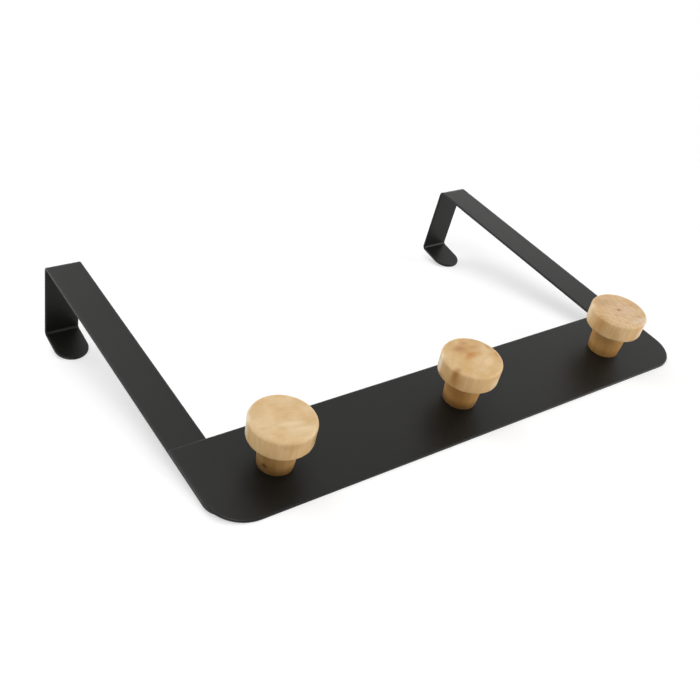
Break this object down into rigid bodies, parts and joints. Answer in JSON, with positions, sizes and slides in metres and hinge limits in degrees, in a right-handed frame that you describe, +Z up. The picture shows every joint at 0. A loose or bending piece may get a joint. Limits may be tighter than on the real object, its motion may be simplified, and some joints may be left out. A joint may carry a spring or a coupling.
{
  "type": "over door hook rail",
  "caption": "Over door hook rail: flat black steel plate with round-cornered front edge, turned wooden knobs, and folded strips that lie over the top of a door.",
  "frame": {"origin": "bottom centre of the bounding box, on the surface that the hook lies on as in the picture", "axes": "+X along the plate, from the left knob to the right one; -Y towards the plate's front edge and +Y towards the folded webs; +Z up, as the hook lies on a table on the plate's front edge and the tips of its lips"},
  "size_m": [0.3, 0.2114, 0.0551],
  "materials": {
    "plate_coat": "matt black powder coat",
    "arm_coat": "matt black powder coat",
    "knob_wood": "pale turned hardwood, smooth, thin matt lacquer",
    "screw_steel": "zinc plated"
  },
  "bodies": {
    "root": {"front_plate": "plate_coat", "left_arm": "arm_coat", "right_arm": "arm_coat", "knob_left": "knob_wood", "knob_centre": "knob_wood", "knob_right": "knob_wood", "knob_screws": "screw_steel"}
  },
  "joints": []
}
